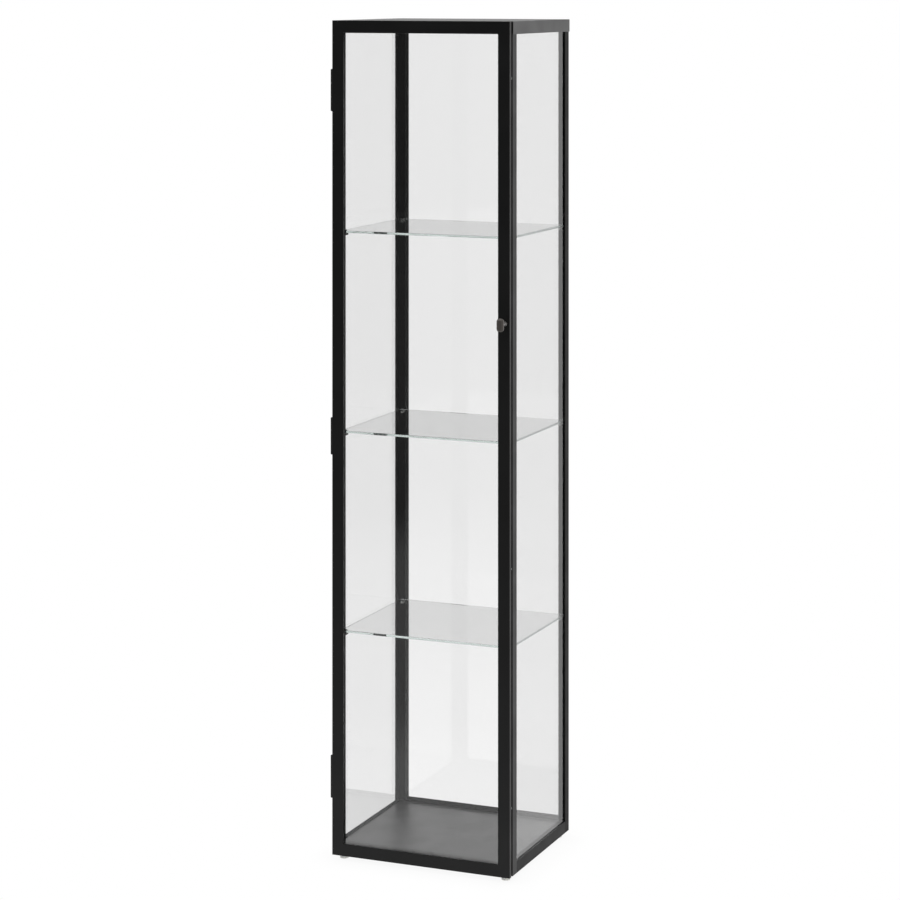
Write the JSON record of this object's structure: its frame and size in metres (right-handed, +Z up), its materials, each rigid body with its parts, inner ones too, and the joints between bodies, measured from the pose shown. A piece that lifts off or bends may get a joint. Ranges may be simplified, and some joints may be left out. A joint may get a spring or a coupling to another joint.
{
  "type": "tower display case",
  "caption": "Tall narrow glazed steel display case with a side-hinged glass door, glass shelves, a small front knob and levelling feet.",
  "frame": {"origin": "on the floor, at the centre of the whole object's footprint with its door shut, hinge barrels and knob included", "axes": "+X to the right seen from the front, +Y from the door to the back, +Z up"},
  "size_m": [0.3512, 0.3274, 1.514],
  "materials": {
    "black_coat": "fine satin powder coat",
    "black_steel": "black oxide, satin",
    "zinc_steel": "bright zinc plate",
    "magnet_plating": "nickel plate",
    "knob_bronze": "bronze-brown satin",
    "knob_stem_metal": "satin",
    "pane_glass": "clear tempered, polished",
    "shelf_glass": "clear tempered, ground and polished edges",
    "black_rubber": "matte",
    "black_plastic": "moulded matte",
    "clear_plastic": "soft clear plastic",
    "white_plastic": "translucent natural plastic"
  },
  "bodies": {
    "cabinet": {"base_corner_blocks": "black_plastic", "base_tray": "black_coat", "catch_housing": "black_plastic", "catch_magnet": "magnet_plating", "catch_screws": "black_steel", "door_buffers": "clear_plastic", "frame_screws": "black_steel", "glass_back": "pane_glass", "glass_left": "pane_glass", "glass_right": "pane_glass", "glazing_seal_back": "black_rubber", "glazing_seal_left": "black_rubber", "glazing_seal_right": "black_rubber", "hinge_leaf_post_lower": "black_coat", "hinge_leaf_post_middle": "black_coat", "hinge_leaf_post_upper": "black_coat", "hinge_pins": "black_coat", "hinge_screws_post": "black_steel", "post_front_left": "black_coat", "post_front_right": "black_coat", "post_rear_left": "black_coat", "post_rear_right": "black_coat", "shelf_clip_pads": "clear_plastic", "shelf_clip_screws": "black_steel", "shelf_clips_front": "black_plastic", "shelf_lower": "shelf_glass", "shelf_middle": "shelf_glass", "shelf_pin_screws": "black_steel", "shelf_pin_sleeves": "clear_plastic", "shelf_pins_rear": "zinc_steel", "shelf_upper": "shelf_glass", "top_corner_blocks": "black_plastic", "top_panel": "black_coat", "wall_strap_inserts": "zinc_steel"},
    "door": {"catch_striker": "zinc_steel", "door_dust_seal": "black_rubber", "door_glass": "pane_glass", "door_glass_retainer": "black_coat", "door_glazing_tape": "black_rubber", "door_rail_bottom": "black_coat", "door_rail_top": "black_coat", "door_retainer_screws": "black_steel", "door_stile_hinge_side": "black_coat", "door_stile_knob_side": "black_coat", "hinge_leaf_door_lower": "black_coat", "hinge_leaf_door_middle": "black_coat", "hinge_leaf_door_upper": "black_coat", "hinge_screws_door": "black_steel", "knob_head": "knob_bronze", "knob_screw": "black_steel", "knob_stem": "knob_stem_metal"},
    "foot_front_left": {"foot_pad_front_left": "white_plastic", "foot_stem_front_left": "zinc_steel"},
    "foot_front_right": {"foot_pad_front_right": "white_plastic", "foot_stem_front_right": "zinc_steel"},
    "foot_rear_left": {"foot_pad_rear_left": "white_plastic", "foot_stem_rear_left": "zinc_steel"},
    "foot_rear_right": {"foot_pad_rear_right": "white_plastic", "foot_stem_rear_right": "zinc_steel"}
  },
  "joints": [
    {"name": "door_hinge", "type": "hinge", "parent": "cabinet", "child": "door", "pos_m": [-0.1726, -0.13045, 0.762], "axis": [0, 0, -1], "range_deg": [0, 180]},
    {"name": "foot_height_front_left", "type": "slide", "parent": "cabinet", "child": "foot_front_left", "axis": [0, 0, -1], "range_m": [0, 0.01]},
    {"name": "foot_height_front_right", "type": "slide", "parent": "cabinet", "child": "foot_front_right", "axis": [0, 0, -1], "range_m": [0, 0.01]},
    {"name": "foot_height_rear_left", "type": "slide", "parent": "cabinet", "child": "foot_rear_left", "axis": [0, 0, -1], "range_m": [0, 0.01]},
    {"name": "foot_height_rear_right", "type": "slide", "parent": "cabinet", "child": "foot_rear_right", "axis": [0, 0, -1], "range_m": [0, 0.01]}
  ]
}
